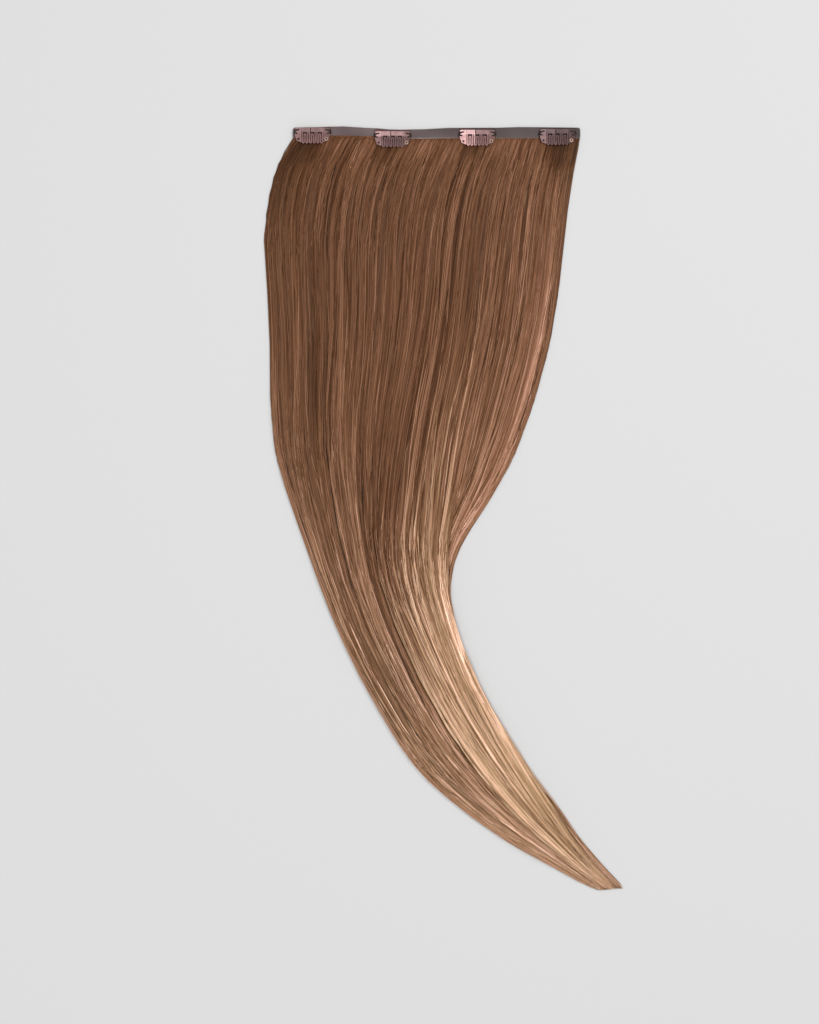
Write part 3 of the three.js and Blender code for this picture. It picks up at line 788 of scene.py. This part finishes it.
def spread_strands(lock, dice, hair):
    """Lays a lock's strands side by side, gathered in tresses and kept within the outline."""
    t = hair.t
    slow = slow_wave(dice, WISPS_IN_LOCK, hair.wisp_steps, 0.16, 1.4)
    wander = slow + slow_wave(dice, WISPS_IN_LOCK, hair.wisp_steps, 0.05, 3.5)
    across = hair.wisp_side + wander[hair.wisp] + hair.crossing * (hair.steps - hair.bent)
    hair.tress = math.pi * (TRESSES * across + dice.uniform(-1.5, 1.5) * t + dice.uniform(0, 2))
    hair.gathered = 0.4 + 0.6 * eased((t - 0.3) / 0.35)
    hair.across = across - 0.6 * hair.gathered * np.sin(hair.tress) / (math.pi * TRESSES)
    room = hair_room(t)
    bundle = WISP_RADIUS * hair.size * (1.5 - 0.5 * hair.steps) / room
    place = lock_place(lock, t) + half_width(lock, t) * hair.across
    place = place + bundle * (hair.side + slow_wave(dice, hair.count, hair.steps, 0.4, 2.2))
    loose = LOOSE_REACH * (hair.rim < LOOSE_SHARE) * eased((t - 0.55) / 0.3)
    margin = RIM_MARGIN + (RIM_DEPTH * hair.rim - RIM_OVER - loose) / room
    kept = np.clip(place, margin, 1 - margin)
    hair.place = kept + RIM_MARGIN * np.tanh((place - kept) / RIM_MARGIN)


def strand_heights(lock, dice, hair):
    """How high each strand lies: on the crown of its lock or deeper, and upper locks over lower ones."""
    t = hair.t
    thick = HAIR_THICKNESS * smooth_column(THICK, t)
    over = eased((t - OVER_FROM) / (OVER_TO - OVER_FROM))
    under = 1 - 0.4 * over * (lock["lift"] == 0)
    hair.crown = np.sqrt(np.clip(1 - 0.75 * np.minimum(hair.across**2, 1.2), 0.06, 1))
    edge = np.clip(1 - np.abs(2 * hair.place - 1) ** 9, 0.25, 1)
    floor_level = thick * lock["lift"] * over
    surface = floor_level + (thick * lock["height"] * under - floor_level) * hair.crown * edge
    z = floor_level + (surface - floor_level) * (1 - 0.5 * hair.depth)
    z = z + WISP_HEIGHT * hair.size * (hair.up - 1) * eased(t / 0.05)
    z = z + TRESS_HEIGHT * hair.gathered * (np.cos(hair.tress) - 1) * eased(t / 0.08)
    rooted = np.clip(1 - t / 0.04, 0, 1)
    z = np.maximum(z, LOWEST_STRAND + dice.uniform(0, LOWEST_SPREAD, (hair.count, 1)))
    return z * (1 - rooted) + rooted * (ROOT_FACE + dice.uniform(0, ROOT_SPREAD, (hair.count, 1)))


def root_reach(dice, hair, x):
    """How far each strand's root runs up over the band, furthest between the first two clips."""
    from_clip_1 = x[:, :1] - clip_place(1)[0]
    to_clip_2 = clip_place(2)[0] - x[:, :1]
    between = eased(from_clip_1 / CLIP_HALF) * eased(to_clip_2 / CLIP_HALF)
    root_length = ROOT_LENGTH + (LONG_ROOTS - ROOT_LENGTH) * between
    return root_length * dice.uniform(0.1, 1.0, (hair.count, 1)) * np.clip(1 - hair.steps * 20, 0, 1)


def strand_rolls(dice, hair):
    """How far each strand is rolled about its own line, level at the hair's two edges."""
    rolls = 0.35 * hair.side + 0.3 * hair.across + 0.16 * hair.gathered * np.sin(hair.tress)
    rolls = rolls + dice.normal(0, 0.3, (hair.count, 1))
    rolls = rolls + slow_wave(dice, hair.count, hair.steps, 0.15, 2.5)
    return rolls * (1 - 0.75 * eased((np.abs(2 * hair.place - 1) - 0.8) / 0.2))


def light_spots(lock, hair, tone):
    """The tone, with painted light at the roots, ends and edges, and painted shade near the roots at the
    right, at the upper left, in the tail and where wisps are sunk in shade.
    """
    t, place = hair.t, hair.place
    lit_roots = 0.5 * np.clip(1 - t / 0.022, 0, 1)
    lit_ends = 0.22 * eased((t - 0.92) / 0.05)
    lit_right = 0.42 * eased((place - 0.89) / 0.08) * eased((t - 0.12) / 0.15)
    lit_left = 0.4 * eased((0.05 - place) / 0.05) * eased(t / 0.3)
    dim_right = 0.6 * eased((place - 0.84) / 0.12) * (1 - eased((t - 0.02) / 0.1))
    dim_left = 0.3 * eased((0.16 - place) / 0.12) * eased(1 - t / 0.4)
    dim_tail = 0.28 * eased((t - 0.74) / 0.1) * eased((0.94 - t) / 0.06) * (lock["places"][-1] > 0.45)
    sunk = 0.6 * hair.early * np.exp(-(((t - 0.63) / 0.07) ** 2)) * eased((0.4 - place) / 0.25)
    tone = tone * (1 + lit_roots + lit_ends) * (1 + lit_right + lit_left)
    return tone * (1 - dim_right - dim_left - dim_tail) * (1 - sunk)


def strand_colours(lock, dice, hair, x, y):
    """How blonde each strand is along its length, and its tone, which holds painted light and shade."""
    t = hair.t
    fading = 0.8 + slow_wave(dice, WISPS_IN_LOCK, hair.wisp_steps, 0.6, 3.0)[hair.wisp]
    flecked = 0.9 + slow_wave(dice, hair.count, hair.steps, 0.6, 4.0)
    shade = hair.shade * fading + dice.normal(0, STRAND_CONTRAST, (hair.count, 1)) * flecked
    contrast = UPPER_CONTRAST if lock["lift"] else LOWER_CONTRAST
    shade = shade * (1 + contrast * eased((t - 0.35) / 0.3)) + 0.05 * random_bands(dice, hair.across, t)
    # Painted shade in the valleys between the tresses
    shade = shade - TRESS_SHADE * hair.gathered * (0.5 - 0.5 * np.cos(hair.tress)) ** 3
    lightened = eased((t - lock["start"] - 0.1 * hair.light) / (lock["full"] - lock["start"]))
    fully = lock["blonde"] - ROOT_BLONDE + 0.07 * hair.light
    blonde = ROOT_BLONDE + fully * lightened + 0.16 * shade
    lifted = np.minimum(shade, 0.32 + 0.32 * shade)
    # Painted shade: deeper wisps, strands low in their wisp and strands off a lock's crown are darker, as
    # is hair under the combs and beside the upper locks
    tone = lock["tone"] * np.exp(0.8 * lifted) * (1 - 0.35 * hair.depth) * (0.76 + 0.24 * hair.up)
    tone = tone * (0.78 + 0.22 * hair.crown) * comb_shade(x, y) * crease_shade(lock, hair.place, t)
    tone = light_spots(lock, hair, tone)
    return {"blonde": np.clip(blonde, 0, 1), "tone": np.clip(tone, *TONE_LIMITS)}


def lock_strands(lock, dice):
    """Paths, widths, rolls and colours of one lock's strands, which gather in wisps."""
    hair = draw_strands(lock, dice)
    spread_strands(lock, dice, hair)
    x, y = hair_point(hair.place, hair.t)
    z = strand_heights(lock, dice, hair)
    y = y + root_reach(dice, hair, x)
    taper = np.clip((1 - hair.steps) * 7, 0.12, 1)
    widths = STRAND_WIDTH * dice.uniform(0.6, 1.3, (hair.count, 1)) * taper
    rolls = strand_rolls(dice, hair)
    return np.stack((x, y, z), axis=2), widths, rolls, strand_colours(lock, dice, hair, x, y)


def stray_hairs(dice):
    """Paths, widths, rolls and colours of single hairs that stand off from the outline."""
    steps = np.linspace(0, 1, STRAND_STEPS)
    count = (STRAY_COUNT, 1)
    side = np.where(dice.uniform(0, 1, count) < 0.5, 0.0, 1.0)
    start = dice.uniform(0.1, 0.9, count)
    t = start + (0.985 - start) * dice.uniform(0.1, 1, count) * steps
    looped = dice.uniform(0, 1, count) < LOOPED_SHARE
    leaving = np.where(looped, np.sin(math.pi * steps) ** 2, steps**3)
    off = leaving * dice.uniform(0.3, 2.2, count) * MM / hair_room(t)
    place = side + (2 * side - 1) * (off - STRAY_INSIDE)
    x, y = hair_point(place, t)
    z = (0.5 + dice.uniform(0.5, 2, count) * np.sin(math.pi * steps)) * MM
    paths = np.stack((x, y, z), axis=2)
    widths = STRAY_WIDTH * np.clip(np.minimum(steps, 1 - steps) * 8, 0.3, 1) * np.ones(count)
    return paths, widths, np.zeros_like(t), {"blonde": 0.25 + 0.5 * t, "tone": np.full_like(t, 1.1)}


hair_look = hair_finish()
dice = np.random.default_rng(SEED)
pieces = []
for number, lock in enumerate(LOCKS, 1):
    pieces.append((f"lock_{number:02d}", lock_strands(lock, dice)))
pieces.append(("stray_hairs", stray_hairs(dice)))
for name, strands in pieces:
    piece = ribbons(name, *strands)
    piece.data.materials.append(hair_look)
    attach(piece, "root")
    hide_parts("hair_fall")


# The floor is a plain pale sheet. The light is a large soft box behind on the right and a weaker one in
# front on the left, and a pale room fills the shadows.
FLOOR_SIZE = 12
FLOOR_GAP = 0.2 * MM
FLOOR_GREY = (0.76, 0.76, 0.76, 1)
KEY_POWER = 46
LEFT_POWER = 15
ROOM_WHITE = (1, 1, 1, 1)
ROOM_STRENGTH = 0.5

floor_mesh = bpy.data.meshes.new("floor")
half = FLOOR_SIZE / 2
floor_mesh.from_pydata(
    [(-half, -half, 0), (half, -half, 0), (half, half, 0), (-half, half, 0)], [], [(0, 1, 2, 3)]
)
floor = bpy.data.objects.new("floor", floor_mesh)
floor.location.z = -FLOOR_GAP
bpy.context.scene.collection.objects.link(floor)
floor_finish, _, floor_shader = new_finish("pale sheet")
floor_shader.inputs["Base Color"].default_value = FLOOR_GREY
floor_shader.inputs["Roughness"].default_value = 0.9
floor_mesh.materials.append(floor_finish)


def soft_box(name, place, target, size, power):
    """A square studio light at a place, turned to a target."""
    light = bpy.data.lights.new(name, "AREA")
    light.size = size
    light.energy = power
    lamp = bpy.data.objects.new(name, light)
    bpy.context.scene.collection.objects.link(lamp)
    lamp.location = place
    direction = np.array(target) - np.array(place)
    yaw = math.atan2(direction[1], direction[0])
    tilt = math.atan2(math.hypot(direction[0], direction[1]), -direction[2])
    lamp.rotation_euler = (tilt, 0, yaw - math.pi / 2)
    return lamp


soft_box("key light", (1.5, 0.9, 2.8), (0, -0.25, 0), 1.5, KEY_POWER)
soft_box("left light", (-0.8, -0.7, 2.6), (0, -0.4, 0), 1.0, LEFT_POWER)
world = bpy.data.worlds.new("studio")
world.use_nodes = True
world.node_tree.nodes["Background"].inputs["Color"].default_value = ROOM_WHITE
world.node_tree.nodes["Background"].inputs["Strength"].default_value = ROOM_STRENGTH
bpy.context.scene.world = world
bpy.context.scene.view_settings.view_transform = "Standard"
